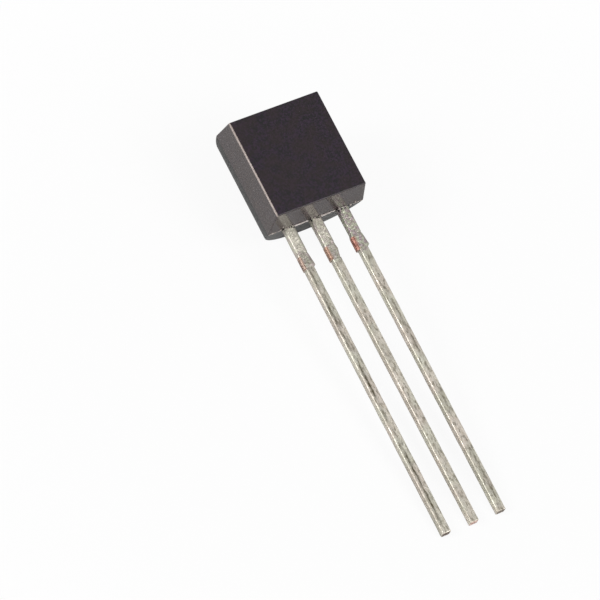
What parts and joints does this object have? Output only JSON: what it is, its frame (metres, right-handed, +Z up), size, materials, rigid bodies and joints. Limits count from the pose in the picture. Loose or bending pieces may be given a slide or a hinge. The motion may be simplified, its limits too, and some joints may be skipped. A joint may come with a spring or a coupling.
{
  "type": "temperature sensor",
  "caption": "Moulded D-shaped temperature sensor with a flat sensing face, a round back and straight tinned leads, lying on its back.",
  "frame": {"origin": "on the table under the middle of the part's bounding box, with the part lying on the lower edge of its round back and its lead tips", "axes": "+Z up; the leads point to -Y and slope down by 7.26 degrees; the width of the body and the row of leads run along X; the flat sensing face looks up, tilted 7.26 degrees towards the leads"},
  "size_m": [0.0046, 0.019, 0.0041],
  "materials": {
    "moulding_epoxy": "black silica-filled epoxy, moulded satin",
    "tinned_copper": "copper alloy dipped in tin, grainy and dulled, bare copper where it was cut",
    "silicon": "polished silicon",
    "silver_epoxy": "cured silver-filled epoxy",
    "gold_wire": "drawn gold"
  },
  "bodies": {
    "root": {"epoxy_body": "moulding_epoxy", "left_lead": "tinned_copper", "centre_lead": "tinned_copper", "right_lead": "tinned_copper", "sensor_die": "silicon", "die_attach": "silver_epoxy", "left_bond_wire": "gold_wire", "centre_bond_wire": "gold_wire", "right_bond_wire": "gold_wire"}
  },
  "joints": []
}
